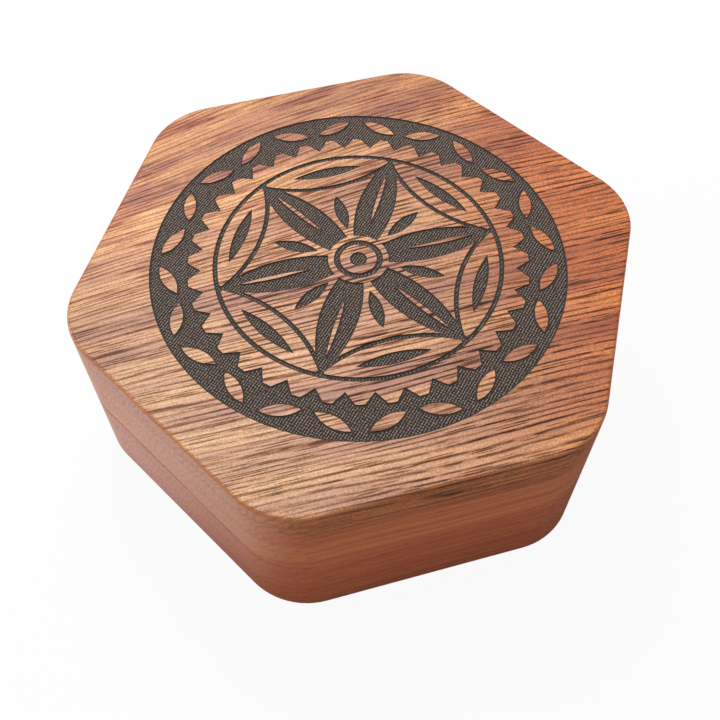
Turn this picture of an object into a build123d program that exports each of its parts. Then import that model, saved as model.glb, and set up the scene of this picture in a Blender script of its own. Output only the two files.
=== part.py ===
"""Hexagonal hardwood dice chest: a base with seven wells, and a lid that lifts off.

Both halves are cut from solid wood. Disc magnets in the six corners draw the lid down onto
the base. Each well has a felt pad, and the hollow lid is a small felt-lined rolling tray. The
lid's top carries a round engraving. All lengths are in millimetres. +Z is up, the corners of
the hexagon lie towards X, and the origin is the centre of the underside.
"""
import os
from math import cos, radians

from build123d import *

os.makedirs("parts", exist_ok=True)

# Wells, which hold one die each: one in the middle and a ring of six around it
WELL_ACROSS_FLATS = 24.0
WELL_CORNER_RADIUS = 3.0
WELL_DEPTH = 13.0
WELL_WALL = 3.0
WELL_LIP_ROUND = 0.5

# Base and lid blocks
FLOOR_THICKNESS = 4.0
TRAY_MARGIN = 0.7
TRAY_DEPTH = 13.0
TRAY_CORNER_RADIUS = 5.6
TRAY_LIP_ROUND = 0.6
LID_TOP_THICKNESS = 6.0
TOP_ROUND = 0.6
SEAM_ROUND = 0.45
FOOT_ROUND = 0.6

# Disc magnets, one in each corner of each half
MAGNET_DIAMETER = 5.0
MAGNET_THICKNESS = 2.0
MAGNET_BEVEL = 0.2
MAGNET_CLEARANCE = 0.05
MAGNET_SUNK = 0.1
MAGNET_WALL = 1.45

# Linings
WELL_FELT_THICKNESS = 1.0
TRAY_FOAM_THICKNESS = 2.0
TRAY_FELT_THICKNESS = 1.0
LINING_CLEARANCE = 0.2

# Engraving on the lid's top, from the outside in
ENGRAVING_DEPTH = 0.22
ENGRAVING_MARGIN = 9.2
BAND_WIDTH = 6.6
BAND_LEAF_COUNT = 24
BAND_LEAF_LENGTH = 6.6
BAND_LEAF_WIDTH = 2.1
BAND_LEAF_TILT = 24.0
TOOTH_COUNT = 36
TOOTH_HEIGHT = 2.3
TOOTH_WIDTH = 3.8
RING_GAP = 2.0
LINE_WIDTH = 0.85
VEIN_WIDTH = 0.7
VEIN_END_GAP = 4.0
LEAF_WIDTH = 2.3
LONG_LEAF_END_GAP = 6.0
SHORT_LEAF_END_GAP = 2.0
BOSS_RADIUS = 4.3
BOSS_GAP = 1.0
BOSS_RING_WIDTH = 1.1
BOSS_DOT_RADIUS = 1.5

# What follows from them
SIDES = 6
SIDE_TURN = 360.0 / SIDES
FLAT_TO_CORNER = 1 / cos(radians(SIDE_TURN / 2))


def corner_reach(across_flats, corner_radius):
    """How far a hexagon's round corner lies from its centre."""
    return across_flats / 2 * FLAT_TO_CORNER - corner_radius * (FLAT_TO_CORNER - 1)


WELL_PITCH = WELL_ACROSS_FLATS + WELL_WALL
WELLS_REACH = WELL_PITCH / FLAT_TO_CORNER + corner_reach(WELL_ACROSS_FLATS, WELL_CORNER_RADIUS)
MAGNET_HOLE_DIAMETER = MAGNET_DIAMETER + 2 * MAGNET_CLEARANCE
MAGNET_HOLE_DEPTH = MAGNET_THICKNESS + MAGNET_SUNK
RIM_WIDTH = MAGNET_HOLE_DIAMETER + 2 * MAGNET_WALL

TRAY_ACROSS_FLATS = 2 * (WELLS_REACH + TRAY_MARGIN)
ACROSS_FLATS = TRAY_ACROSS_FLATS + 2 * RIM_WIDTH
CORNER_RADIUS = TRAY_CORNER_RADIUS + RIM_WIDTH
MAGNET_REACH = corner_reach(TRAY_ACROSS_FLATS, TRAY_CORNER_RADIUS) + RIM_WIDTH / 2

SEAM_Z = FLOOR_THICKNESS + WELL_DEPTH
TRAY_FLOOR_Z = SEAM_Z + TRAY_DEPTH
TOP_Z = TRAY_FLOOR_Z + LID_TOP_THICKNESS

ENGRAVING_RADIUS = ACROSS_FLATS / 2 - ENGRAVING_MARGIN
BAND_INNER_RADIUS = ENGRAVING_RADIUS - BAND_WIDTH
RING_RADIUS = BAND_INNER_RADIUS - TOOTH_HEIGHT - RING_GAP
PETAL_LENGTH = RING_RADIUS - LINE_WIDTH / 2
PETAL_START = BOSS_RADIUS + BOSS_GAP


# Shared forms


def around(count, first=0.0):
    """The angles of count things spread evenly around the centre, in degrees."""
    return [first + 360.0 / count * k for k in range(count)]


def outward(angle, reach):
    """A place at that distance from the centre, turned to face outward along that angle."""
    return Rot(0, 0, angle) * Pos(reach, 0, 0)


def hexagon(across_flats, corner_radius, turn=0.0):
    """A flat hexagon with round corners, which point along X unless it is turned."""
    sharp = RegularPolygon(across_flats / 2, SIDES, major_radius=False, rotation=turn)
    return fillet(sharp.vertices(), corner_radius)


def well_outline(inset=0.0):
    """One well seen from above. Its flats face its neighbours."""
    return hexagon(WELL_ACROSS_FLATS - 2 * inset, WELL_CORNER_RADIUS - inset, SIDE_TURN / 2)


def tray_outline(inset=0.0):
    """The lid's hollow seen from above."""
    return hexagon(TRAY_ACROSS_FLATS - 2 * inset, TRAY_CORNER_RADIUS - inset)


def prism(face, bottom, top):
    """The face as a solid between two heights."""
    return Pos(0, 0, bottom) * extrude(face, top - bottom)


def block(bottom, top, bottom_round, top_round):
    """The outer form of one half, with its bottom and top edges rounded."""
    solid = prism(hexagon(ACROSS_FLATS, CORNER_RADIUS), bottom, top)
    solid = fillet(solid.edges().group_by(Axis.Z)[0], bottom_round)
    return fillet(solid.edges().group_by(Axis.Z)[-1], top_round)


def round_mouths(solid, face, radius):
    """Rounds the mouths of the hollows that open in that face of the solid."""
    return fillet([edge for wire in face.inner_wires() for edge in wire.edges()], radius)


def leaf(length, width):
    """A pointed leaf along X, between two arcs."""
    start, end = (-length / 2, 0), (length / 2, 0)
    upper = ThreePointArc(start, (0, width / 2), end)
    lower = ThreePointArc(end, (0, -width / 2), start)
    return make_face([upper, lower])


def ring(outer_radius, width):
    """A flat ring of that width, inside its outer radius."""
    return Circle(outer_radius) - Circle(outer_radius - width)


# Base


def well_places():
    """The places of the seven wells, the middle one first."""
    return [Pos(0, 0, 0)] + [outward(angle, WELL_PITCH) for angle in around(SIDES)]


def magnet_places():
    """The places of one half's magnets, in the middle of the rim at each corner."""
    return [outward(angle, MAGNET_REACH) for angle in around(SIDES)]


def base_block():
    """The base, with its wells and the holes for its magnets."""
    solid = block(0, SEAM_Z, FOOT_ROUND, SEAM_ROUND)
    for place in well_places():
        solid -= place * prism(well_outline(), FLOOR_THICKNESS, SEAM_Z)
    solid = round_mouths(solid, solid.faces().sort_by(Axis.Z)[-1], WELL_LIP_ROUND)
    for place in magnet_places():
        hole = Circle(MAGNET_HOLE_DIAMETER / 2)
        solid -= place * prism(hole, SEAM_Z - MAGNET_HOLE_DEPTH, SEAM_Z)
    return solid


# Lid


def band():
    """The engraving's outer band: bare leaves are left standing in it, and teeth point inward."""
    face = ring(ENGRAVING_RADIUS, BAND_WIDTH)
    half = TOOTH_WIDTH / 2
    tooth = Polygon((half, 0), (-half, 0), (0, -TOOTH_HEIGHT), align=None)
    for angle in around(TOOTH_COUNT):
        face += Rot(0, 0, angle) * Pos(0, BAND_INNER_RADIUS) * tooth
    bare_leaf = leaf(BAND_LEAF_LENGTH, BAND_LEAF_WIDTH)
    middle = ENGRAVING_RADIUS - BAND_WIDTH / 2
    half_step = 180.0 / BAND_LEAF_COUNT
    for k, angle in enumerate(around(BAND_LEAF_COUNT, half_step)):
        tilt = BAND_LEAF_TILT if k % 2 else -BAND_LEAF_TILT
        face -= Rot(0, 0, angle) * Pos(0, middle) * Rot(0, 0, tilt) * bare_leaf
    return face


def petals():
    """Six petals drawn with one setting of the compass, each with a bare vein."""
    width = 2 * PETAL_LENGTH * (1 - 1 / FLAT_TO_CORNER)
    petal = Pos(PETAL_LENGTH / 2, 0) * leaf(PETAL_LENGTH, width)
    vein_length = PETAL_LENGTH - PETAL_START - 2 * VEIN_END_GAP
    vein = Pos((PETAL_START + PETAL_LENGTH) / 2, 0) * leaf(vein_length, VEIN_WIDTH)
    petal -= vein
    petal -= Circle(PETAL_START)
    return [Rot(0, 0, angle) * petal for angle in around(SIDES)]


def bows():
    """Arcs of the petals' own radius that join their tips, and the leaves beside them."""
    centre_reach = 2 * PETAL_LENGTH / FLAT_TO_CORNER
    bow_reach = centre_reach - PETAL_LENGTH - LINE_WIDTH
    bow = Pos(centre_reach, 0) * ring(PETAL_LENGTH + LINE_WIDTH, LINE_WIDTH)
    bow &= Circle(PETAL_LENGTH)
    long_leaf = leaf(PETAL_LENGTH - 2 * LONG_LEAF_END_GAP, LEAF_WIDTH)
    long_leaf = Pos(PETAL_LENGTH / FLAT_TO_CORNER, 0) * Rot(0, 0, 90) * long_leaf
    short_leaf = leaf(bow_reach - PETAL_START - 2 * SHORT_LEAF_END_GAP, LEAF_WIDTH)
    short_leaf = Pos((PETAL_START + bow_reach) / 2, 0) * short_leaf
    places = [Rot(0, 0, angle) for angle in around(SIDES, SIDE_TURN / 2)]
    return [place * form for place in places for form in (bow, long_leaf, short_leaf)]


def engraving():
    """All that the engraving takes out of the lid's top, seen from above."""
    face = band() + ring(RING_RADIUS, LINE_WIDTH)
    for form in petals() + bows():
        face += form
    return face + ring(BOSS_RADIUS, BOSS_RING_WIDTH) + Circle(BOSS_DOT_RADIUS)


def lid_block():
    """The lid, hollowed into a tray from below and engraved on top."""
    solid = block(SEAM_Z, TOP_Z, SEAM_ROUND, TOP_ROUND)
    solid -= prism(tray_outline(), SEAM_Z, TRAY_FLOOR_Z)
    solid = round_mouths(solid, solid.faces().sort_by(Axis.Z)[0], TRAY_LIP_ROUND)
    for place in magnet_places():
        hole = Circle(MAGNET_HOLE_DIAMETER / 2)
        solid -= place * prism(hole, SEAM_Z, SEAM_Z + MAGNET_HOLE_DEPTH)
    return solid - prism(engraving(), TOP_Z - ENGRAVING_DEPTH, TOP_Z)


# What the blocks hold


def magnet(bottom):
    """A disc magnet with bevelled edges."""
    disc = prism(Circle(MAGNET_DIAMETER / 2), bottom, bottom + MAGNET_THICKNESS)
    return chamfer(disc.edges().filter_by(GeomType.CIRCLE), MAGNET_BEVEL)


def lining(outline, bottom, top):
    """A pad of cut felt or foam with the outline of the hollow that it lines."""
    return prism(outline(LINING_CLEARANCE), bottom, top)


def parts():
    """Every piece by the name of its node."""
    pieces = {"base": base_block(), "lid": lid_block()}
    for k, place in enumerate(magnet_places(), 1):
        pieces[f"base_magnet_{k}"] = place * magnet(SEAM_Z - MAGNET_HOLE_DEPTH)
        pieces[f"lid_magnet_{k}"] = place * magnet(SEAM_Z + MAGNET_SUNK)
    for k, place in enumerate(well_places(), 1):
        felt = lining(well_outline, FLOOR_THICKNESS, FLOOR_THICKNESS + WELL_FELT_THICKNESS)
        pieces[f"well_felt_{k}"] = place * felt
    foam_z = TRAY_FLOOR_Z - TRAY_FOAM_THICKNESS
    pieces["tray_foam"] = lining(tray_outline, foam_z, TRAY_FLOOR_Z)
    pieces["tray_felt"] = lining(tray_outline, foam_z - TRAY_FELT_THICKNESS, foam_z)
    return pieces


for name, piece in parts().items():
    export_step(piece, f"parts/{name}.step")

print(f"across flats {ACROSS_FLATS:.2f}, across corners", end=" ")
print(f"{2 * corner_reach(ACROSS_FLATS, CORNER_RADIUS):.2f}, height {TOP_Z:.2f}")
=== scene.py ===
# %% [markdown]
# # A hexagonal dice chest in oiled sapele
# The chest is two blocks of solid hardwood: a base with seven wells, and a hollow lid that magnets
# draw down onto it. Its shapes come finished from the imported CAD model, so this lesson is about
# surfaces: wood that is cut from one solid texture, a laser-burnt engraving, felt, foam and nickel.
# Everything is in metres and in the model's own frame, with +Z up and the wood's grain along X.

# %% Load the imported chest
from math import cos, pi, radians, sin

import bmesh
import bpy
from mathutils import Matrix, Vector, noise


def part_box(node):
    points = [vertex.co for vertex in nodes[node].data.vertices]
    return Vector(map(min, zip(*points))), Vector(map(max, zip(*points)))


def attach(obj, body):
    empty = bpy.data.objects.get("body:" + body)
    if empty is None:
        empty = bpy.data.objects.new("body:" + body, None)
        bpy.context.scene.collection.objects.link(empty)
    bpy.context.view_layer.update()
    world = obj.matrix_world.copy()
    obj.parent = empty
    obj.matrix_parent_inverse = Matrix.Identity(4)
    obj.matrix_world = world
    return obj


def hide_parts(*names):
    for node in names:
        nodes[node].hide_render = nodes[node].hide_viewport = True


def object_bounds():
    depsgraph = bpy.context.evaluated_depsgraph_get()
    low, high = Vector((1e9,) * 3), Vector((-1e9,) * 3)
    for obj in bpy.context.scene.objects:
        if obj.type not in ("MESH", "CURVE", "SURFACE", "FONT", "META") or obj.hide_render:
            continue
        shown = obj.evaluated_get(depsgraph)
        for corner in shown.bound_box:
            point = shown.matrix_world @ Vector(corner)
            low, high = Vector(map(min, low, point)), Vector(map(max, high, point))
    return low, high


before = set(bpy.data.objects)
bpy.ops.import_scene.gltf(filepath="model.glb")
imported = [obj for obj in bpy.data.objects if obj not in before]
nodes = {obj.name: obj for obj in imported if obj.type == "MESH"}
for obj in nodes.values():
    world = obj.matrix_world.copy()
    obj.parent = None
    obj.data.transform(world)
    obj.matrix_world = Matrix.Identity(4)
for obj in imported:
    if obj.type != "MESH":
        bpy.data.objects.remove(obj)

MM = 0.001
cad_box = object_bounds()
size_mm = (cad_box[1] - cad_box[0]) / MM
print(f"{len(nodes)} nodes, {size_mm.x:.1f} x {size_mm.y:.1f} x {size_mm.z:.1f} mm")

# %% [markdown]
# ## Helpers for materials
# Colours are written as the sRGB hex values that a picture editor shows, and a shader wants linear
# light, so one function converts them. Another adds a node to a material together with its
# settings and its links, because the wood takes more than a hundred nodes and each is then one
# readable statement. An input is given by its name or its number: a Map Range node reads 0, and
# maps the range from 1 to 2 onto the range from 3 to 4. Three sets of settings come back so often
# that they have names.


# %% Colours and nodes
WHITE = "#ffffff"
SMOOTH = {"interpolation_type": "SMOOTHSTEP"}
COLOUR = {"data_type": "RGBA"}
TINT = {"data_type": "RGBA", "blend_type": "MULTIPLY"}


def linear(hex_colour):
    """A colour such as "#c98a5b" as linear red, green, blue and an alpha of 1."""
    channels = [int(hex_colour[k:k + 2], 16) / 255 for k in (1, 3, 5)]
    return [c / 12.92 if c <= 0.04045 else ((c + 0.055) / 1.055) ** 2.4 for c in channels] + [1.0]


def add(tree, kind, inputs=None, **settings):
    """Adds a node. Each of its inputs gets a value, or a link from a node or a socket."""
    node = tree.nodes.new("ShaderNode" + kind)
    for name, value in settings.items():
        setattr(node, name, value)
    for key, value in (inputs or {}).items():
        named = [s for s in node.inputs if s.enabled and s.name == key]
        socket = named[0] if named else node.inputs[key]
        if isinstance(value, bpy.types.Node):
            value = next(s for s in value.outputs if s.enabled)
        if isinstance(value, bpy.types.NodeSocket):
            tree.links.new(value, socket)
        else:
            socket.default_value = value
    return node


def new_material(name):
    """An empty node material, and its tree."""
    material = bpy.data.materials.new(name)
    material.use_nodes = True
    material.node_tree.nodes.clear()
    return material, material.node_tree


def place_in_mm(tree):
    """The point that is being shaded, in the chest's own frame and in millimetres."""
    place = add(tree, "TexCoord").outputs["Object"]
    return add(tree, "VectorMath", {0: place, "Scale": 1 / MM}, operation="SCALE")


def wear(piece, material):
    """Gives a piece this one material."""
    piece.data.materials.clear()
    piece.data.materials.append(material)


# %% [markdown]
# ## The camera
# The photograph was taken from above the front left corner. A rounded hexagonal prism of the
# chest's real size, fitted to the outline in the photograph, gave the place of the lens, the way it
# looks and its focal length in pixels of the 720 pixel frame. No shift or roll was needed.

# %% Camera
FRAME_PX = 720
FOCAL_PX = 935.6
SENSOR_MM = 36.0
CAMERA_PLACE_MM = (-28.05, -101.35, 162.02)
CAMERA_TURN = radians(-15.62)
CAMERA_DIP = radians(56.33)

camera = bpy.data.objects.new("camera", bpy.data.cameras.new("camera"))
bpy.context.scene.collection.objects.link(camera)
camera.location = Vector(CAMERA_PLACE_MM) * MM
camera.rotation_euler = (pi / 2 - CAMERA_DIP, 0, CAMERA_TURN)
camera.data.sensor_width = SENSOR_MM
camera.data.lens = SENSOR_MM * FOCAL_PX / FRAME_PX
camera.data.clip_start = MM
bpy.context.scene.camera = camera
print(f"camera {camera.data.lens:.1f} mm, {CAMERA_PLACE_MM[2]:.0f} mm above the table")

# %% [markdown]
# ## The table
# The photograph is a product shot on white. To the camera the table is mostly plain white, with a
# little of its own lit colour to keep the shadow. What a polished side mirrors is the table close
# to it. There the table glows for mirrored rays only, like the cards of a studio: white on the
# left, a painted reflection that turns the left side pale, and dark in front and on the right,
# which keeps the front's own red. Further out, polished things mirror the white background.

# %% Table
TABLE_HALF_WIDTH = 2.0
TABLE_PAINT = "#f5f5f5"
TABLE_WHITE_TO_CAMERA = 0.94
TABLE_STRENGTH = 0.995
BACKDROP_STRENGTH = 0.99
CARD_FROM_X = -0.026
CARD_TO_X = -0.054
CARD_WHITE = 0.99
CARD_DARK = 0.10
CARD_END_NEAR = 0.09
CARD_END_FAR = 0.16

table_mesh = bpy.data.meshes.new("table")
square = ((-1, -1), (1, -1), (1, 1), (-1, 1))
table_corners = [(x * TABLE_HALF_WIDTH, y * TABLE_HALF_WIDTH, 0) for x, y in square]
table_mesh.from_pydata(table_corners, [], [(0, 1, 2, 3)])
table = bpy.data.objects.new("table", table_mesh)
bpy.context.scene.collection.objects.link(table)

table_paint, tree = new_material("white_matt_table")
seen = add(tree, "LightPath")
mirrored = add(tree, "Math", {0: seen.outputs["Is Glossy Ray"], 1: seen.outputs["Is Transmission Ray"]},
               operation="MAXIMUM")
white_share = add(tree, "Math", {0: seen.outputs["Is Camera Ray"], 1: TABLE_WHITE_TO_CAMERA, 2: mirrored},
                  operation="MULTIPLY_ADD")
table_place = add(tree, "TexCoord").outputs["Object"]
table_x = add(tree, "SeparateXYZ", {0: table_place}).outputs["X"]
# The cards are no objects but a glow of the table for mirrored rays: a painted reflection.
left_card = add(tree, "MapRange", {0: table_x, 1: CARD_TO_X, 2: CARD_FROM_X, 3: CARD_WHITE,
                                   4: CARD_DARK}, **SMOOTH)
distance = add(tree, "VectorMath", {0: table_place}, operation="LENGTH").outputs["Value"]
beyond = add(tree, "MapRange", {0: distance, 1: CARD_END_NEAR, 2: CARD_END_FAR, 3: CARD_DARK,
                                4: BACKDROP_STRENGTH})
cards = add(tree, "Math", {0: left_card, 1: beyond}, operation="MAXIMUM")
glow = add(tree, "Mix", {"Factor": seen.outputs["Is Camera Ray"], "A": cards, "B": TABLE_STRENGTH})
lit = add(tree, "BsdfDiffuse", {"Color": linear(TABLE_PAINT)})
white = add(tree, "Emission", {"Color": linear(WHITE), "Strength": glow})
mixed = add(tree, "MixShader", {0: white_share, 1: lit, 2: white})
add(tree, "OutputMaterial", {"Surface": mixed})
wear(table, table_paint)
print(f"table {2 * TABLE_HALF_WIDTH:.0f} m wide, {TABLE_WHITE_TO_CAMERA:.0%} plain white to the camera")

# %% [markdown]
# ## Light
# One wide softbox hangs behind the chest. The left and the front of the top mirror it towards the
# lens, which lays a pale sheen over the wood there, and the front faces lie in shade. A second one
# on the left lights only the left side. The world fills in from all round, and it is white where it
# is seen or mirrored. A lamp of P watts at a distance d and a height z lights a level surface with
# P z / (pi d^3), and a white one then shines at that over pi. So each lamp's power follows from the
# share of plain white that it should give, and all shares together with the world come to about 1:
# a colour then renders as it is written.

# %% World and lamps
WORLD_STRENGTH = 0.28
LAMPS = {"softbox_behind": {"place": Vector((0.0, 0.39, 0.67)), "side": 0.43, "share": 0.60},
         "softbox_left": {"place": Vector((-0.60, 0.28, 0.24)), "side": 0.35, "share": 0.14}}

world = bpy.data.worlds.new("studio")
world.use_nodes = True
world.node_tree.nodes.clear()
bpy.context.scene.world = world
tree = world.node_tree
seen = add(tree, "LightPath")
direct = seen.outputs["Is Camera Ray"]
for ray in ("Is Glossy Ray", "Is Transmission Ray"):
    direct = add(tree, "Math", {0: direct, 1: seen.outputs[ray]}, operation="MAXIMUM")
ambient = add(tree, "Background", {"Color": linear(WHITE), "Strength": WORLD_STRENGTH})
backdrop = add(tree, "Background", {"Color": linear(WHITE), "Strength": BACKDROP_STRENGTH})
mixed = add(tree, "MixShader", {0: direct, 1: ambient, 2: backdrop})
add(tree, "OutputWorld", {"Surface": mixed})

for name, facts in LAMPS.items():
    place = facts["place"]
    lamp = bpy.data.objects.new(name, bpy.data.lights.new(name, "AREA"))
    bpy.context.scene.collection.objects.link(lamp)
    lamp.location = place
    lamp.rotation_euler = place.to_track_quat("Z", "Y").to_euler()
    lamp.data.size = facts["side"]
    lamp.data.energy = facts["share"] * pi ** 2 * place.length ** 3 / place.z
    print(f"{name} {lamp.data.energy:.1f} W at {place.length:.2f} m")
bpy.context.scene.view_settings.view_transform = "Standard"

# %% [markdown]
# ## Sapele, cut from one solid texture
# Sapele is a red-brown hardwood from the mahogany family. Its pores are long open tubes, about
# 0.2 mm across, which a planed face cuts into dark dashes a few millimetres long, and its annual
# layers give broad bands of orange, tan and purple-brown. A picture wrapped round the block would
# show a seam at each edge. A solid texture doesn't: every node below works from the place inside
# the wood, so the same pores show as dashes on the top and as dots on the end grain, as they do in
# a real block. The faces are sanded and wiped with oil, so they are satin, not glossy.
#
# ### The bend of the grain
# No tree grows straight, so the place is bent first. A slow noise lets the grain wander. On top of
# it lies the bend that the photograph shows: towards the back the lines rise from the left and
# level out towards the right. Half a parabola, with its top right of the middle, does that.

# %% Where a point lies in the tree
WANDER_LENGTH = 75.0
WANDER_HEIGHT = 3.2
NOISE_MIDDLE = (0.5, 0.5, 0.5)
BEND_CENTRE_X = 35.0
BEND_REACH = 60.0
BEND_HEIGHT = 10.0
BEND_START_Y = -22.0
BEND_FULL_Y = 42.0


def grain_place(tree, seed):
    """Where a point lies in the straight tree, in millimetres: x along the grain, then y and z."""
    place = place_in_mm(tree)
    moved = add(tree, "VectorMath", {0: place, 1: (seed, 2 * seed, 3 * seed)}, operation="ADD")
    wander = add(tree, "TexNoise", {"Vector": moved, "Scale": 1 / WANDER_LENGTH, "Detail": 1.0})
    wander = add(tree, "VectorMath", {0: wander.outputs["Color"], 1: NOISE_MIDDLE}, operation="SUBTRACT")
    wander = add(tree, "VectorMath", {0: wander, 1: (0, WANDER_HEIGHT * 2, WANDER_HEIGHT)},
                 operation="MULTIPLY")
    xyz = add(tree, "SeparateXYZ", {0: place})
    off = add(tree, "Math", {0: xyz.outputs["X"], 1: BEND_CENTRE_X}, operation="SUBTRACT")
    off = add(tree, "Math", {0: off, 1: BEND_REACH}, operation="DIVIDE")
    bow = add(tree, "Math", {0: off, 1: 2.0}, operation="POWER")
    grow = add(tree, "MapRange", {0: xyz.outputs["Y"], 1: BEND_START_Y, 2: BEND_FULL_Y, 3: 0.0,
                                  4: BEND_HEIGHT}, **SMOOTH)
    rise = add(tree, "Math", {0: bow, 1: grow}, operation="MULTIPLY")
    bend = add(tree, "CombineXYZ", {1: rise})
    place = add(tree, "VectorMath", {0: place, 1: wander}, operation="ADD")
    return add(tree, "VectorMath", {0: place, 1: bend}, operation="ADD")


# %% [markdown]
# ### The layers of the years
# A tree adds one thin sheet of wood a year, and the board is sawn at a small angle to the sheets.
# That draws each of them out into a band several millimetres wide on the top and leaves it narrow
# on the sides. The bands are a noise in sheets that slope by that angle.

# %% Year layers
LAYER_SLOPE = radians(13.0)
LAYER_THICKNESS = 1.3
LAYER_LENGTH = 85.0


def year_layers(tree, inside):
    """The broad bands of the years, from 0 to 1."""
    slope = (0, sin(LAYER_SLOPE), cos(LAYER_SLOPE))
    depth = add(tree, "VectorMath", {0: inside, 1: slope}, operation="DOT_PRODUCT").outputs["Value"]
    xyz = add(tree, "SeparateXYZ", {0: inside})
    along = add(tree, "Math", {0: xyz.outputs["X"], 1: LAYER_LENGTH}, operation="DIVIDE")
    across = add(tree, "Math", {0: depth, 1: LAYER_THICKNESS}, operation="DIVIDE")
    sideways = add(tree, "Math", {0: xyz.outputs["Y"], 1: LAYER_LENGTH}, operation="DIVIDE")
    layers = add(tree, "CombineXYZ", {0: along, 1: across, 2: sideways})
    figure = add(tree, "TexNoise", {"Vector": layers, "Scale": 1.0, "Detail": 3.0, "Roughness": 0.55})
    return figure.outputs["Fac"]


# %% [markdown]
# ### The fine patterns
# Five more patterns are noises that are stretched along the grain, because most things in wood are
# long and thin. Each has a length along the grain and a width across it, in millimetres, and an
# amount of finer detail. The first makes the dark lines stray, the second breaks them into dashes,
# the fibres shade the wood in threads, the short flecks glint, partly through the bump and partly
# as a glint painted into the colour, and the calm patches make it here louder and there quieter.
# The open pores are the cells of a Voronoi pattern. A pore is 0.2 mm across, and its cells lie
# 0.36 mm apart, about as fine as the picture can show.

# %% Fine patterns
PATTERNS = {"stray": (50.0, 3.0, 0.6), "dash": (3.5, 0.5, 1.0), "fibre": (9.0, 0.25, 1.0),
            "fleck": (0.36, 0.28, 1.0), "calm": (14.0, 3.5, 1.0)}
PORE_SPACING = (11.0, 0.36)
PORE_RIM = 0.34
PORE_MOUTH = 0.20


def stretched(tree, inside, length, width):
    """The place inside the wood, measured in a pattern's own length and width."""
    return add(tree, "VectorMath", {0: inside, 1: (1 / length, 1 / width, 1 / width)}, operation="MULTIPLY")


def fine_patterns(tree, inside, pore_strength):
    """Each pattern's noise, from 0 to 1, and the pores."""
    found = {}
    for name, (length, width, detail) in PATTERNS.items():
        vector = stretched(tree, inside, length, width)
        found[name] = add(tree, "TexNoise", {"Vector": vector, "Scale": 1.0, "Detail": detail}).outputs["Fac"]
    pores = add(tree, "TexVoronoi", {"Vector": stretched(tree, inside, *PORE_SPACING), "Scale": 1.0})
    found["pore"] = add(tree, "MapRange", {0: pores.outputs["Distance"], 1: PORE_RIM, 2: PORE_MOUTH, 3: 0.0,
                                           4: pore_strength}, **SMOOTH)
    return found


# %% [markdown]
# ### Where on the board
# One board isn't the same everywhere. On the lid in the photograph the wood is clear and yellow at
# the back left and redder towards the right, and the upper part of each side is streaky. On the top
# at the front left a pale, bluish tint is painted in as the sheen of the softbox, and it also quiets
# the lines there. So four shares rise from 0 to 1, each along its own way through the block and
# between two distances in millimetres. The sides are calmer than the top, most of all where the saw
# cut straight across the fibres, because only their ends show there.

# %% Regions of a board
# The front-left share marks where a sheen is painted into the top; the others are the wood's own.
SPREADS = {"clear": ((-0.45, 0.89, 0.0), -5.0, 40.0), "painted_sheen": ((-0.87, -0.5, 0.0), 12.0, 48.0),
           "red": ((1.0, 0.0, 0.0), 10.0, 42.0), "streaky": ((0.0, 0.0, 1.0), 26.0, 33.0)}
STEEP = 0.1
LEVEL = 0.9
SIDE_CONTRAST = 0.7
STREAK_CONTRAST = 1.0
END_GRAIN_CALM = 0.85


def regions(tree, grain):
    """The shares of the regions, how crisp the grain shows, and the way the face looks."""
    where = {}
    for name, (way, start, full) in SPREADS.items():
        reach = add(tree, "VectorMath", {0: grain, 1: way}, operation="DOT_PRODUCT").outputs["Value"]
        where[name] = add(tree, "MapRange", {0: reach, 1: start, 2: full, 3: 0.0, 4: 1.0}, **SMOOTH)
    facing = add(tree, "SeparateXYZ", {0: add(tree, "NewGeometry").outputs["Normal"]})
    upright = add(tree, "Math", {0: facing.outputs["Z"]}, operation="ABSOLUTE")
    where["flat"] = add(tree, "MapRange", {0: upright, 1: STEEP, 2: LEVEL, 3: 0.0, 4: 1.0})
    end_grain = add(tree, "Math", {0: facing.outputs["X"], 1: facing.outputs["X"]}, operation="MULTIPLY")
    long_grain = add(tree, "Math", {0: end_grain, 1: -END_GRAIN_CALM, 2: 1.0}, operation="MULTIPLY_ADD")
    on_side = add(tree, "Math", {0: where["streaky"], 1: STREAK_CONTRAST - SIDE_CONTRAST, 2: SIDE_CONTRAST},
                  operation="MULTIPLY_ADD")
    on_side = add(tree, "Math", {0: on_side, 1: long_grain}, operation="MULTIPLY")
    where["crisp"] = add(tree, "Math", {0: where["flat"], 1: on_side}, operation="MAXIMUM")
    where["facing"] = facing
    return where


# %% [markdown]
# ### The colour of a board
# The bands of the years run from a dark to a pale tone. Over them lies a stain, a thin colour that
# multiplies what is below it, as oil does, and it changes from region to region. At the front left
# of the top the tint is no stain but a painted sheen. A mottle of darker patches lies on the clear
# part of the top.

# %% Board colour
BAND_MIDDLE = 0.5
BAND_PALE_REACH = 0.35
MOTTLE_FROM = 0.48
MOTTLE_TO = 0.62


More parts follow.
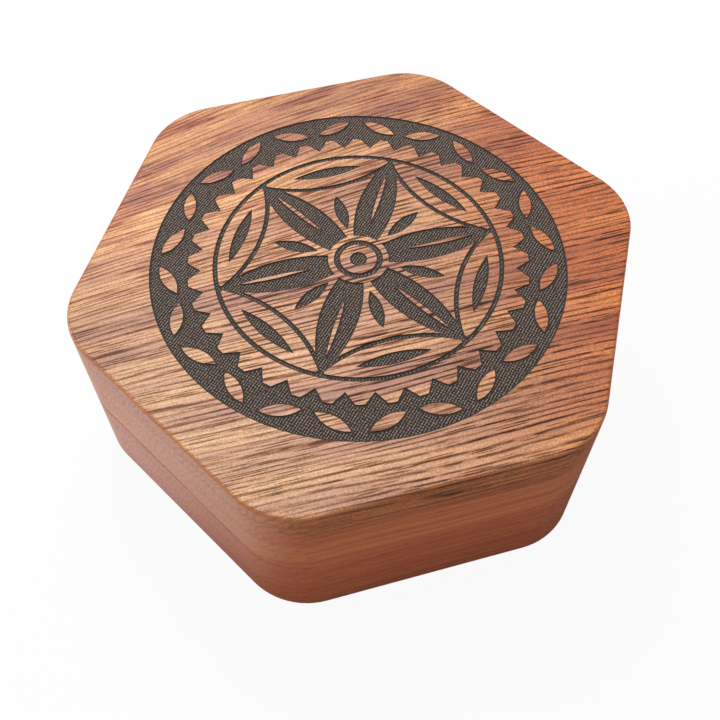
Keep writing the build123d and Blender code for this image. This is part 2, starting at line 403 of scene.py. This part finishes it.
def board_colour(tree, figure, calm, where, tones, figure_strength):
    """The wood's colour without its lines, flecks and pores."""
    band = add(tree, "ValToRGB", {"Fac": figure})
    dark, pale = band.color_ramp.elements
    dark.position = BAND_MIDDLE - BAND_MIDDLE * figure_strength
    dark.color = linear(tones["dark"])
    pale.position = BAND_MIDDLE + BAND_PALE_REACH * figure_strength
    pale.color = linear(tones["pale"])
    band.color_ramp.elements.new(BAND_MIDDLE).color = linear(tones["middle"])

    stain = linear(tones["stain"])
    # The front-left tint is a painted sheen, pale and bluish; the others are stains.
    for region in ("red", "clear", "painted_sheen"):
        stain = add(tree, "Mix", {"Factor": where[region], "A": stain, "B": linear(tones[region])}, **COLOUR)
    side_stain = add(tree, "Mix", {"Factor": where["streaky"], "A": linear(tones["side_low"]),
                                   "B": linear(tones["side_high"])}, **COLOUR)
    stain = add(tree, "Mix", {"Factor": where["flat"], "A": side_stain, "B": stain}, **COLOUR)
    colour = add(tree, "Mix", {"Factor": 1.0, "A": band.outputs["Color"], "B": stain}, **TINT)

    mottle = add(tree, "MapRange", {0: calm, 1: MOTTLE_FROM, 2: MOTTLE_TO, 3: 0.0, 4: 1.0})
    for region in ("clear", "flat"):
        mottle = add(tree, "Math", {0: mottle, 1: where[region]}, operation="MULTIPLY")
    return add(tree, "Mix", {"Factor": mottle, "A": colour, "B": linear(tones["mottle"])}, **TINT)


# %% [markdown]
# ### The dark lines
# Rows of vessels give the top its dark lines. In the photograph they run on and lie a little over
# a millimetre apart. So they are the contour lines of a tilted plane, and a noise that is added to
# the plane makes them stray without letting them swell or end. From one line to the next the height
# grows by 1, so a fold at one half turns it into the distance from the nearest line. The lines are
# quieter where the wood is clear, and under the painted sheen at the front left.

# %% Vessel lines
LINE_SPACING = 1.15
LINE_SPACING_UP = 2.2
LINE_STRAY = 2.5
LINE_FOLD = 0.5
LINE_FULL = 0.05
LINE_GONE = 0.25
DASH_FROM = 0.36
DASH_TO = 0.52
DASH_LEAST = 0.35
LOUD_FROM = 0.35
LOUD_TO = 0.60
LOUD_LEAST = 0.55
QUIET_SHARE = 0.35


def loudness(tree, calm, where):
    """How strongly lines and pores show, from 0 to 1."""
    loud = add(tree, "MapRange", {0: calm, 1: LOUD_FROM, 2: LOUD_TO, 3: LOUD_LEAST, 4: 1.0})
    loud = add(tree, "Math", {0: loud, 1: where["crisp"]}, operation="MULTIPLY")
    # Quieter where the wood is clear, and under the painted sheen at the front left.
    quiet = add(tree, "Math", {0: where["painted_sheen"], 1: where["clear"]}, operation="MAXIMUM")
    quiet = add(tree, "Math", {0: quiet, 1: -QUIET_SHARE, 2: 1.0}, operation="MULTIPLY_ADD")
    return add(tree, "Math", {0: loud, 1: quiet}, operation="MULTIPLY")


def vessel_lines(tree, inside, found, loud):
    """How far a point lies in a dark line, from 0 to 1."""
    rows = add(tree, "VectorMath", {0: inside, 1: (0, 1 / LINE_SPACING, 1 / LINE_SPACING_UP)},
               operation="DOT_PRODUCT").outputs["Value"]
    fold = add(tree, "Math", {0: found["stray"], 1: LINE_STRAY, 2: rows}, operation="MULTIPLY_ADD")
    fold = add(tree, "Math", {0: fold, 1: LINE_FOLD}, operation="PINGPONG")
    line = add(tree, "MapRange", {0: fold, 1: LINE_FULL, 2: LINE_GONE, 3: 1.0, 4: 0.0}, **SMOOTH)
    dash = add(tree, "MapRange", {0: found["dash"], 1: DASH_FROM, 2: DASH_TO, 3: DASH_LEAST, 4: 1.0})
    line = add(tree, "Math", {0: line, 1: dash}, operation="MULTIPLY")
    return add(tree, "Math", {0: line, 1: loud}, operation="MULTIPLY")


# %% [markdown]
# ### One function for both blocks
# The lid and the base come from different boards: the base is redder and calmer. So the wood is one
# function, and each block gives it its own colours, its own place in the tree and the strength of
# its figure. Fibres make the wood lighter and darker by a share, and so do flecks, partly as figure
# and partly as a painted glint. The sides take on some of one even tone, because sanding with the
# grain wipes out much of what the planer left.

# %% Sapele
NOISE_LOW = 0.3
NOISE_HIGH = 0.7
FIBRE_SHADE = (-0.20, 0.20)
FLECK_TONE_AND_GLINT = (-0.32, 0.40)
SIDE_SHARE = 0.45


def sapele(name, seed, tones, figure_strength, pore_strength):
    """Planed and sanded sapele. Returns the material, its tree and what later steps add to."""
    material, tree = new_material(name)
    grain = grain_place(tree, seed)
    inside = add(tree, "VectorMath", {0: grain, 1: (2 * seed, 3 * seed, 5 * seed)}, operation="ADD")
    found = fine_patterns(tree, inside, pore_strength)
    where = regions(tree, grain)
    figure = year_layers(tree, inside)
    colour = board_colour(tree, figure, found["calm"], where, tones, figure_strength)

    loud = loudness(tree, found["calm"], where)
    line = vessel_lines(tree, inside, found, loud)
    colour = add(tree, "Mix", {"Factor": line, "A": colour, "B": linear(tones["line"])}, **TINT)
    # A fleck's lightening is partly figure and partly a painted glint.
    thread, fleck_tone_and_glint = (add(tree, "MapRange", {0: found[pattern], 1: NOISE_LOW, 2: NOISE_HIGH, 3: low, 4: high})
                     for pattern, (low, high) in (("fibre", FIBRE_SHADE), ("fleck", FLECK_TONE_AND_GLINT)))
    light = add(tree, "Math", {0: thread, 1: fleck_tone_and_glint}, operation="ADD")
    light = add(tree, "Math", {0: light, 1: where["crisp"], 2: 1.0}, operation="MULTIPLY_ADD")
    colour = add(tree, "VectorMath", {0: colour, "Scale": light}, operation="SCALE")
    pore = add(tree, "Math", {0: found["pore"], 1: loud}, operation="MULTIPLY")
    colour = add(tree, "Mix", {"Factor": pore, "A": colour, "B": linear(tones["pore"])}, **COLOUR)
    side = add(tree, "MapRange", {0: where["crisp"], 1: SIDE_CONTRAST, 2: 1.0, 3: SIDE_SHARE, 4: 0.0})
    colour = add(tree, "Mix", {"Factor": side, "A": colour, "B": linear(tones["side"])}, **COLOUR)
    return material, tree, {"colour": colour, "pore": pore, "line": line, "fibre": found["fibre"],
                            "fleck": found["fleck"], "facing": where["facing"]}


# %% [markdown]
# ### Where the board is worked
# Three things change along a block. The cut ends of the fibres drink more oil, so faces that look
# along the grain are darker and a little greyer. The rounded top edge is a bright orange line: partly
# sanding wear, and partly a painted highlight where the rounding catches the light. And in the lid,
# whatever lies just below the top and inside the engraving's circle is burnt.

# %% End grain and edge
END_GRAIN_TONE = "#e0eeea"
TOP_Z = cad_box[1].z / MM
EDGE_DEPTH = 0.75
EDGE_STRENGTH = 0.75
EDGE_BEGINS = (0.3, 0.6)
EDGE_ENDS = (0.75, 0.93)
WORN_FIBRE = (0.35, 0.6)
WORN_LEAST = 0.2


def end_grain_and_edge(tree, parts, height, edge_wear_and_highlight_tone):
    """The colour with darker end grain, and the top edge worn and given a painted highlight."""
    facing = parts["facing"]
    end = add(tree, "Math", {0: facing.outputs["X"], 1: 2.0}, operation="POWER")
    colour = add(tree, "Mix", {"Factor": end, "A": parts["colour"], "B": linear(END_GRAIN_TONE)}, **TINT)
    near_top = add(tree, "Math", {0: height, 1: TOP_Z - EDGE_DEPTH}, operation="GREATER_THAN")
    begins = add(tree, "MapRange", {0: facing.outputs["Z"], 1: EDGE_BEGINS[0], 2: EDGE_BEGINS[1], 3: 0.0,
                                    4: EDGE_STRENGTH})
    ends = add(tree, "MapRange", {0: facing.outputs["Z"], 1: EDGE_ENDS[0], 2: EDGE_ENDS[1], 3: 1.0, 4: 0.0})
    worn = add(tree, "MapRange", {0: parts["fibre"], 1: WORN_FIBRE[0], 2: WORN_FIBRE[1], 3: WORN_LEAST,
                                  4: 1.0})
    edge = begins
    for share in (ends, near_top, worn):
        edge = add(tree, "Math", {0: edge, 1: share}, operation="MULTIPLY")
    # The edge line is partly sanding wear and partly a painted highlight of the rounded edge.
    return add(tree, "Mix", {"Factor": edge, "A": colour, "B": linear(edge_wear_and_highlight_tone)}, **COLOUR)


# %% The burnt part of the lid
ENGRAVING_REACH = 38.0
ENGRAVING_SKIN = 0.06


def burnt_share(tree, place, height):
    """1 inside the engraving's circle and just below the top, and 0 elsewhere."""
    flat_place = add(tree, "VectorMath", {0: place, 1: (1, 1, 0)}, operation="MULTIPLY")
    reach = add(tree, "VectorMath", {0: flat_place}, operation="LENGTH").outputs["Value"]
    within = add(tree, "Math", {0: reach, 1: ENGRAVING_REACH}, operation="LESS_THAN")
    below = add(tree, "Math", {0: height, 1: TOP_Z - ENGRAVING_SKIN}, operation="LESS_THAN")
    above = add(tree, "Math", {0: height, 1: TOP_Z - 2 * EDGE_DEPTH}, operation="GREATER_THAN")
    burnt = add(tree, "Math", {0: within, 1: below}, operation="MULTIPLY")
    return add(tree, "Math", {0: burnt, 1: above}, operation="MULTIPLY")


# %% [markdown]
# ### Oil
# Oiled wood has the gloss of a thin dry film, with an IOR of 1.5 and a roughness of about a third
# that changes a little from fibre to fibre. Oil sinks into the open pores and lines and leaves them
# matt. Pores are the deepest part of the relief, then the lines, and the flecks only ripple it.

# %% Oiled finish
OIL_IOR = 1.5
OIL_ROUGHNESS = 0.33
OIL_ROUGHER = 0.08
OIL_SMOOTHER = 0.04
PORE_ROUGHNESS = 0.95
CHAR_ROUGHNESS = 0.9
PORE_DEPTH = 0.05
LINE_DEPTH = 0.02
FLECK_DEPTH = 0.015


def finish_block(tree, parts, edge_wear_and_highlight_tone, char_tone=None):
    """Adds end grain, the edge with its wear and painted highlight, the char and the oiled shader."""
    place = place_in_mm(tree)
    height = add(tree, "SeparateXYZ", {0: place}).outputs["Z"]
    colour = end_grain_and_edge(tree, parts, height, edge_wear_and_highlight_tone)
    rough = add(tree, "MapRange", {0: parts["fibre"], 1: NOISE_LOW, 2: NOISE_HIGH,
                                   3: OIL_ROUGHNESS + OIL_ROUGHER, 4: OIL_ROUGHNESS - OIL_SMOOTHER})
    dull = add(tree, "Math", {0: parts["pore"], 1: parts["line"]}, operation="MAXIMUM")
    rough = add(tree, "Mix", {"Factor": dull, "A": rough, "B": PORE_ROUGHNESS})
    if char_tone:
        burnt = burnt_share(tree, place, height)
        colour = add(tree, "Mix", {"Factor": burnt, "A": colour, "B": linear(char_tone)}, **COLOUR)
        rough = add(tree, "Mix", {"Factor": burnt, "A": rough, "B": CHAR_ROUGHNESS})
    relief = add(tree, "Math", {0: parts["pore"], 1: -PORE_DEPTH}, operation="MULTIPLY")
    relief = add(tree, "Math", {0: parts["line"], 1: -LINE_DEPTH, 2: relief}, operation="MULTIPLY_ADD")
    relief = add(tree, "Math", {0: parts["fleck"], 1: FLECK_DEPTH, 2: relief}, operation="MULTIPLY_ADD")
    bump = add(tree, "Bump", {"Height": relief, "Distance": MM, "Strength": 1.0})
    shader = add(tree, "BsdfPrincipled", {"Base Color": colour, "Roughness": rough, "Normal": bump,
                                          "IOR": OIL_IOR})
    add(tree, "OutputMaterial", {"Surface": shader})


# %% The lid's board
# The lid's tint for the front left is a painted sheen.
lid_tones = {"dark": "#ae6841", "middle": "#d08a57", "pale": "#e4a267", "stain": "#e9e6e2", "red": "#f2c492",
             "painted_sheen": "#f0fbff", "clear": "#fffce8", "side_low": "#f4d8c0", "side_high": "#e0bea8",
             "mottle": "#d4a484", "line": "#583024", "pore": "#3a1e14", "side": "#e67c4e"}
lid_wood, tree, parts = sapele("oiled_sapele_lid", 64.0, lid_tones, figure_strength=0.34,
                               pore_strength=0.9)
# The edge tone is sanded wood and a painted highlight.
finish_block(tree, parts, edge_wear_and_highlight_tone="#c4682c", char_tone="#2a2321")
wear(nodes["lid"], lid_wood)
print(f"{lid_wood.name}: {len(tree.nodes)} nodes")

# %% The base's board
base_tones = {"dark": "#a4634a", "middle": "#c8865c", "pale": "#d89c6c", "stain": "#eed8c8", "red": "#e8c4a4",
              "painted_sheen": "#eed8c8", "clear": "#ffffff", "side_low": "#f0c4a8", "side_high": "#f0c4a8",
              "mottle": "#e0b8a8", "line": "#6f4234", "pore": "#3a1e14", "side": "#dc6c40"}
base_wood, tree, parts = sapele("oiled_sapele_base", 57.0, base_tones, figure_strength=0.4,
                                pore_strength=0.55)
# The edge tone is sanded wood and a painted highlight.
finish_block(tree, parts, edge_wear_and_highlight_tone="#a4643f")
wear(nodes["base"], base_wood)
print(f"{base_wood.name}: {len(tree.nodes)} nodes")

# %% [markdown]
# ## The burnt floor of the engraving
# A laser clears the engraving in fine parallel passes at 45 degrees, and leaves a floor of char with
# a thread of lighter ash between the passes. It then runs once round every border, which burns a
# darker line there. The floor's outline is already in the lid's mesh: the faces that look up about
# a fifth of a millimetre below the top. They are copied into a skin of char of its own, so that the
# hatching has a mesh to itself.

# %% Find the engraved floor
LEVEL_TOLERANCE = 0.01 * MM
LOOKS_UP = 0.99
lid_mesh = nodes["lid"].data
lid_top = cad_box[1].z
upward = [face for face in lid_mesh.polygons if face.normal.z > LOOKS_UP]
floor_z = max(face.center.z for face in upward if face.center.z < lid_top - ENGRAVING_SKIN * MM)
floor_faces = [face for face in upward if abs(face.center.z - floor_z) < LEVEL_TOLERANCE]
print(f"engraving {(lid_top - floor_z) / MM:.2f} mm deep, {len(floor_faces)} faces")

# %% Copy it as a sheet
WELD = LEVEL_TOLERANCE / 10


def floor_sheet():
    """The engraved floor as one welded sheet of faces, still open."""
    bm = bmesh.new()
    made = {}
    for face in floor_faces:
        corners = []
        for index in face.vertices:
            point = lid_mesh.vertices[index].co
            key = tuple(round(c / WELD) for c in point)
            if key not in made:
                made[key] = bm.verts.new(point)
            corners.append(made[key])
        if len(set(corners)) == len(corners):
            bm.faces.new(corners)
    return bm


def link_mesh(name, bm, material, smooth=False):
    """Makes an object of the bmesh, with one material."""
    mesh = bpy.data.meshes.new(name)
    bm.to_mesh(mesh)
    bm.free()
    mesh.materials.append(material)
    mesh.polygons.foreach_set("use_smooth", [smooth] * len(mesh.polygons))
    piece = bpy.data.objects.new(name, mesh)
    bpy.context.scene.collection.objects.link(piece)
    return piece


# %% [markdown]
# ### Char and ash
# The hatching is a wave across the passes, 0.42 mm from one to the next on the real lid. It is drawn
# at 0.46 mm, because a finer one would melt into grey at the size of the picture. The laser fires
# in pulses, so a second, weaker wave along the passes breaks each thread of ash into dots, and a
# noise makes some of them thicker. Char is porous carbon: matt, and with less gloss than wood.

# %% Char
HATCH_ANGLE = radians(-45)
HATCH_PITCH = 0.46
HATCH_WOBBLE = 0.4
WOBBLES_PER_MM = 0.8
PULSE_PITCH = 0.50
PULSE_SHARE = 0.5
ASH_LENGTH = 0.45
ASH_PATCHES = 1.6
ASH_NOISE = 5.0
ASH_FROM = -0.2
ASH_TO = 2.2
ASH_DEPTH = 0.03
CHAR_GLOSS = 0.2
CHAR_TO_ASH_ROUGHNESS = (0.7, 0.9)

char, tree = new_material("laser_burnt_wood")
place = place_in_mm(tree)
turned = add(tree, "VectorRotate", {"Vector": place, "Angle": HATCH_ANGLE}, rotation_type="Z_AXIS")
xyz = add(tree, "SeparateXYZ", {0: turned})
wobble = add(tree, "TexNoise", {"Vector": turned, "Scale": WOBBLES_PER_MM, "Detail": 1.0})
wobble = add(tree, "Math", {0: wobble.outputs["Fac"], 1: HATCH_WOBBLE}, operation="MULTIPLY")
phase = add(tree, "Math", {0: xyz.outputs["Y"], 1: 1 / HATCH_PITCH, 2: wobble}, operation="MULTIPLY_ADD")
phase = add(tree, "Math", {0: phase, 1: 2 * pi}, operation="MULTIPLY")
wave = add(tree, "Math", {0: phase}, operation="SINE")
ash_place = add(tree, "VectorMath", {0: turned, 1: (1 / ASH_LENGTH, 1 / HATCH_PITCH, 0)},
                operation="MULTIPLY")
ash = add(tree, "TexNoise", {"Vector": ash_place, "Scale": ASH_PATCHES, "Detail": 1.0})
ash = add(tree, "Math", {0: ash.outputs["Fac"], 1: ASH_NOISE, 2: -ASH_NOISE / 2}, operation="MULTIPLY_ADD")
ash = add(tree, "Math", {0: ash, 1: wave}, operation="ADD")
pulse = add(tree, "Math", {0: xyz.outputs["X"], 1: 2 * pi / PULSE_PITCH}, operation="MULTIPLY")
pulse = add(tree, "Math", {0: pulse}, operation="SINE")
ash = add(tree, "Math", {0: pulse, 1: PULSE_SHARE, 2: ash}, operation="MULTIPLY_ADD")
ash = add(tree, "MapRange", {0: ash, 1: ASH_FROM, 2: ASH_TO, 3: 0.0, 4: 1.0})
colour = add(tree, "Mix", {"Factor": ash, "A": linear("#191413"), "B": linear("#b29c8c")}, **COLOUR)
relief = add(tree, "Math", {0: ash, 1: ASH_DEPTH}, operation="MULTIPLY")
bump = add(tree, "Bump", {"Height": relief, "Distance": MM, "Strength": 1.0})
rough = add(tree, "MapRange", {0: ash, 1: 0.0, 2: 1.0, 3: CHAR_TO_ASH_ROUGHNESS[0],
                               4: CHAR_TO_ASH_ROUGHNESS[1]})
shader = add(tree, "BsdfPrincipled", {"Base Color": colour, "Roughness": rough, "Normal": bump, "IOR": 1.5,
                                      "Specular IOR Level": CHAR_GLOSS})
add(tree, "OutputMaterial", {"Surface": shader})

# %% A skin of char over the floor
CHAR_LIFT = 0.01 * MM
CHAR_THICKNESS = 0.02 * MM

bm = floor_sheet()
bmesh.ops.translate(bm, vec=(0, 0, CHAR_LIFT), verts=bm.verts)
raised = bmesh.ops.extrude_face_region(bm, geom=bm.faces[:], use_keep_orig=True)
raised = [v for v in raised["geom"] if isinstance(v, bmesh.types.BMVert)]
bmesh.ops.translate(bm, vec=(0, 0, CHAR_THICKNESS), verts=raised)
bmesh.ops.recalc_face_normals(bm, faces=bm.faces)
char_skin = link_mesh("engraving_char", bm, char)
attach(char_skin, "lid")
print(f"char skin {len(char_skin.data.polygons)} faces")

# %% [markdown]
# ### The burnt line along every border
# Each border of the floor is a closed loop of edges. A ribbon follows it on the inside: at every
# point the two edges that meet there are pushed in by the line's width, and the point goes where
# they cross again. At a sharp tip that place runs far away, so its distance is capped. A curve
# object with a bevel could draw the line too, but it would lie half outside the floor.

# %% Follow the borders
LONGEST_MITRE = 2.5
SHORTEST_MIDDLE = 1e-3


def border_loops(bm):
    """The borders of an open sheet, each a list of points with the sheet on its left."""
    after = {}
    for edge in bm.edges:
        if len(edge.link_faces) == 1:
            loop = edge.link_loops[0]
            after.setdefault(loop.vert, []).append(loop.link_loop_next.vert)
    loops = []
    while after:
        start = next(iter(after))
        loop = [start]
        while True:
            vert = after[loop[-1]].pop()
            if not after[loop[-1]]:
                del after[loop[-1]]
            if vert == start:
                break
            loop.append(vert)
        loops.append([v.co.copy() for v in loop])
    return loops


def pushed_in(loop, width):
    """The loop moved by that width towards the sheet on its left."""
    normals = []
    for k, point in enumerate(loop):
        way = (loop[(k + 1) % len(loop)] - point).xy.normalized()
        normals.append(Vector((-way.y, way.x)))
    moved = []
    for k, point in enumerate(loop):
        middle = normals[k - 1] + normals[k]
        crossing = 2 / max(middle.length_squared, SHORTEST_MIDDLE ** 2)
        longest = LONGEST_MITRE / max(middle.length, SHORTEST_MIDDLE)
        step = middle * min(crossing, longest) * width
        moved.append(point + Vector((step.x, step.y, 0)))
    return moved


# %% [markdown]
# ### Soot
# The border is burnt twice, so it is soot on char: nearly black, a little brown, and matt. Its grit
# is drawn a quarter of a millimetre wide, far coarser than soot is, so that it shows.

# %% Soot
GRITS_PER_MM = 4

soot, tree = new_material("soot_black_border")
place = add(tree, "TexCoord").outputs["Object"]
grit = add(tree, "TexNoise", {"Vector": place, "Scale": GRITS_PER_MM / MM, "Detail": 2.0})
colour = add(tree, "Mix", {"Factor": grit.outputs["Fac"], "A": linear("#171312"),
                           "B": linear("#33291f")}, **COLOUR)
relief = add(tree, "Math", {0: grit.outputs["Fac"], 1: ASH_DEPTH}, operation="MULTIPLY")
bump = add(tree, "Bump", {"Height": relief, "Distance": MM, "Strength": 0.6})
shader = add(tree, "BsdfPrincipled", {"Base Color": colour, "Roughness": 0.8, "Normal": bump, "IOR": 1.5})
add(tree, "OutputMaterial", {"Surface": shader})

# %% Burnt outlines
OUTLINE_WIDTH = 0.30 * MM
OUTLINE_LIFT = 0.045 * MM

sheet = floor_sheet()
borders = border_loops(sheet)
sheet.free()
bm = bmesh.new()
for border in borders:
    inner = pushed_in(border, OUTLINE_WIDTH)
    section = ((border, CHAR_LIFT), (border, OUTLINE_LIFT), (inner, OUTLINE_LIFT), (inner, CHAR_LIFT))
    rails = [[bm.verts.new(point + Vector((0, 0, lift))) for point in side] for side, lift in section]
    for k in range(len(border)):
        for a, b in zip(rails, rails[1:] + rails[:1]):
            bm.faces.new((a[k - 1], a[k], b[k], b[k - 1]))
bmesh.ops.recalc_face_normals(bm, faces=bm.faces)
outline = link_mesh("engraving_outline", bm, soot)
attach(outline, "lid")
print(f"{len(borders)} burnt borders, {sum(len(b) for b in borders)} points")

# %% [markdown]
# ## Felt and foam
# Each well has a pad of pressed wool felt, and the lid's hollow is lined with felt over a sheet of
# foam, so that dice land softly in it. Felt is cut, not sewn: its edges are square but soft, and its
# face is a mat of short fibres that lies a little uneven. So a pad is a grid of rings from the
# rounded hexagon's outline to its middle, with a soft rim and a face that noise moves by a few
# hundredths of a millimetre. The outline is worked out from the box of the CAD pad that it replaces.

# %% The outline and the section of a pad
HEX_SIDES = 6
HEX_TURN = 60
HEX_REACH = 1 / cos(radians(HEX_TURN / 2))
CORNER_STEPS = 10
PAD_RINGS = 14
RIM_ROUND = 0.28 * MM
RIM_STEPS = 4


def pad_outline(width, reach, turn):
    """A rounded hexagon: width across flats, and reach from the middle to a corner's tip."""
    corner = (width / 2 * HEX_REACH - reach) / (HEX_REACH - 1)
    centre = reach - corner
    points = []
    for side in range(HEX_SIDES):
        for step in range(CORNER_STEPS + 1):
            way = radians(HEX_TURN * side + turn)
            out = way + radians(HEX_TURN * step / CORNER_STEPS - HEX_TURN / 2)
            x = centre * cos(way) + corner * cos(out)
            y = centre * sin(way) + corner * sin(out)
            points.append(Vector((x, y, 0)))
    return points


def pad_section(half_width, back, face, inward):
    """From the pad's back round its rim to near its middle: how far in, and at what height."""
    section = [(0.0, back)]
    for step in range(RIM_STEPS + 1):
        angle = radians(90 * step / RIM_STEPS)
        section.append((RIM_ROUND * (1 - cos(angle)), face - inward * RIM_ROUND * (1 - sin(angle))))
    for ring in range(1, PAD_RINGS):
        section.append((RIM_ROUND + (half_width - RIM_ROUND) * ring / PAD_RINGS, face))
    return section


# %% The shape of a pad
FACE_UNEVEN = 0.05 * MM
FACE_NOISE_LENGTH = 3.0 * MM


def make_pad(name, node, material, faces_up=True):
    """A soft pad in the place of a CAD node, with its better face up or down."""
    low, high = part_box(node)
    middle, size = (low + high) / 2, high - low
    width = min(size.x, size.y)
    pointed_along_y = size.y > size.x
    outline = pad_outline(width, max(size.x, size.y) / 2, 90 if pointed_along_y else 0)
    back, face, inward = (low.z, high.z, 1) if faces_up else (high.z, low.z, -1)
    bm = bmesh.new()
    rings = []
    for inset, z in pad_section(width / 2, back, face, inward):
        scale = 1 - inset / (width / 2)
        ring = []
        for point in outline:
            spot = Vector((middle.x + point.x * scale, middle.y + point.y * scale, z))
            if z == face:
                dip = 0.5 + 0.5 * noise.noise(spot / FACE_NOISE_LENGTH)
                spot.z -= inward * FACE_UNEVEN * dip
            ring.append(bm.verts.new(spot))
        rings.append(ring)
    for a, b in zip(rings, rings[1:]):
        for k in range(len(outline)):
            bm.faces.new((a[k - 1], a[k], b[k], b[k - 1]))
    centre = bm.verts.new((middle.x, middle.y, face - inward * FACE_UNEVEN / 2))
    for k in range(len(outline)):
        bm.faces.new((rings[-1][k - 1], rings[-1][k], centre))
    bm.faces.new(rings[0])
    bmesh.ops.recalc_face_normals(bm, faces=bm.faces)
    piece = link_mesh(name, bm, material, smooth=True)
    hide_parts(node)
    return piece


# %% [markdown]
# ### Felt and foam, seen close
# Felt is wool pressed into a mat, so its colour comes from fibres that lie in all directions: two
# noises, one fine and one broad, mottle a near-black wool. A fibre is thinner than the picture can
# show, so the fine noise has steps of 0.25 mm. Wool scatters light at grazing angles, which is the
# shader's sheen. The foam is closed-cell polyethylene, matt, with cells a little over half a
# millimetre wide.

# %% Felt
FELT_FIBRE = 0.25
FELT_PATCH = 4.0
FELT_PATCH_SHARE = 0.4
FELT_DARK_AT = 0.45
FELT_PALE_AT = 0.95
FELT_DEPTH = 0.12
FELT_ROUGHNESS = (1.0, 0.85)

felt, tree = new_material("pressed_wool_felt")
place = place_in_mm(tree)
fuzz = add(tree, "TexNoise", {"Vector": place, "Scale": 1 / FELT_FIBRE, "Detail": 3.0, "Roughness": 0.7,
                              "Distortion": 1.5})
patch = add(tree, "TexNoise", {"Vector": place, "Scale": 1 / FELT_PATCH, "Detail": 2.0})
tone = add(tree, "Math", {0: patch.outputs["Fac"], 1: FELT_PATCH_SHARE, 2: fuzz.outputs["Fac"]},
           operation="MULTIPLY_ADD")
tone = add(tree, "MapRange", {0: tone, 1: FELT_DARK_AT, 2: FELT_PALE_AT, 3: 0.0, 4: 1.0})
colour = add(tree, "Mix", {"Factor": tone, "A": linear("#1c1b1d"), "B": linear("#414043")}, **COLOUR)
relief = add(tree, "Math", {0: fuzz.outputs["Fac"], 1: FELT_DEPTH}, operation="MULTIPLY")
bump = add(tree, "Bump", {"Height": relief, "Distance": MM, "Strength": 0.8})
rough = add(tree, "MapRange", {0: fuzz.outputs["Fac"], 1: NOISE_LOW, 2: NOISE_HIGH,
                               3: FELT_ROUGHNESS[0], 4: FELT_ROUGHNESS[1]})
shader = add(tree, "BsdfPrincipled", {"Base Color": colour, "Roughness": rough, "Normal": bump, "IOR": 1.5,
                                      "Sheen Weight": 0.25, "Sheen Roughness": 0.5})
add(tree, "OutputMaterial", {"Surface": shader})

# %% Foam
FOAM_CELL = 0.6
FOAM_WALL_AT = 0.7
FOAM_DEPTH = 0.08
FOAM_ROUGHNESS = (0.7, 0.9)

foam, tree = new_material("closed_cell_foam")
cells = add(tree, "TexVoronoi", {"Vector": place_in_mm(tree), "Scale": 1 / FOAM_CELL})
tone = add(tree, "MapRange", {0: cells.outputs["Distance"], 1: 0.0, 2: FOAM_WALL_AT, 3: 0.0, 4: 1.0})
colour = add(tree, "Mix", {"Factor": tone, "A": linear("#2c2c2e"), "B": linear("#4a4a4d")}, **COLOUR)
relief = add(tree, "Math", {0: tone, 1: FOAM_DEPTH}, operation="MULTIPLY")
bump = add(tree, "Bump", {"Height": relief, "Distance": MM, "Strength": 0.7})
rough = add(tree, "MapRange", {0: tone, 1: 0.0, 2: 1.0, 3: FOAM_ROUGHNESS[0], 4: FOAM_ROUGHNESS[1]})
shader = add(tree, "BsdfPrincipled", {"Base Color": colour, "Roughness": rough, "Normal": bump, "IOR": 1.5})
add(tree, "OutputMaterial", {"Surface": shader})

# %% [markdown]
# ### Laying the pads
# The felts lie flat on what carries them, and each is attached to the block that carries it.

# %% Lay the pads
WELLS = 7


def lay_felt(name, node, body, faces_up):
    """A felt pad, attached to the block that carries it."""
    pad = make_pad(name, node, felt, faces_up)
    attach(pad, body)


for k in range(1, WELLS + 1):
    lay_felt(f"felt_in_well_{k}", f"well_felt_{k}", "base", True)
foam_pad = make_pad("foam_in_lid", "tray_foam", foam, False)
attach(foam_pad, "lid")
lay_felt("felt_in_lid", "tray_felt", "lid", False)

# %% [markdown]
# ## Nickel-plated magnets
# Disc magnets are sintered, ground flat and plated with bright nickel against rust. The plating is a
# warm silver mirror with fine scratches from handling, which show in its gloss and hardly in its
# colour. A scratch is a hundredth of a millimetre wide, and is drawn ten times as wide, so that it
# shows.

# %% Nickel
SCRATCH_WIDTH = 0.12
SCRATCH_LENGTH = 3.0
SCRATCH_FROM = 0.35
SCRATCH_TO = 0.65
NICKEL_SMOOTH = 0.16
NICKEL_SCRATCHED = 0.34

nickel, tree = new_material("nickel_plate")
place = add(tree, "TexCoord").outputs["Object"]
place = add(tree, "VectorMath", {0: place, 1: (1 / (SCRATCH_LENGTH * MM), 1 / (SCRATCH_WIDTH * MM), 1 / MM)},
            operation="MULTIPLY")
scratch = add(tree, "TexNoise", {"Vector": place, "Scale": 1.0, "Detail": 3.0, "Distortion": 0.6})
colour = add(tree, "Mix", {"Factor": scratch.outputs["Fac"], "A": linear("#c9c3b8"), "B": linear("#dcd7cd")},
             **COLOUR)
rough = add(tree, "MapRange", {0: scratch.outputs["Fac"], 1: SCRATCH_FROM, 2: SCRATCH_TO, 3: NICKEL_SMOOTH,
                               4: NICKEL_SCRATCHED})
shader = add(tree, "BsdfPrincipled", {"Base Color": colour, "Metallic": 1.0, "Roughness": rough})
add(tree, "OutputMaterial", {"Surface": shader})
magnets = [piece for name, piece in nodes.items() if "magnet" in name]
for magnet in magnets:
    wear(magnet, nickel)
print(f"{len(magnets)} magnets in nickel")
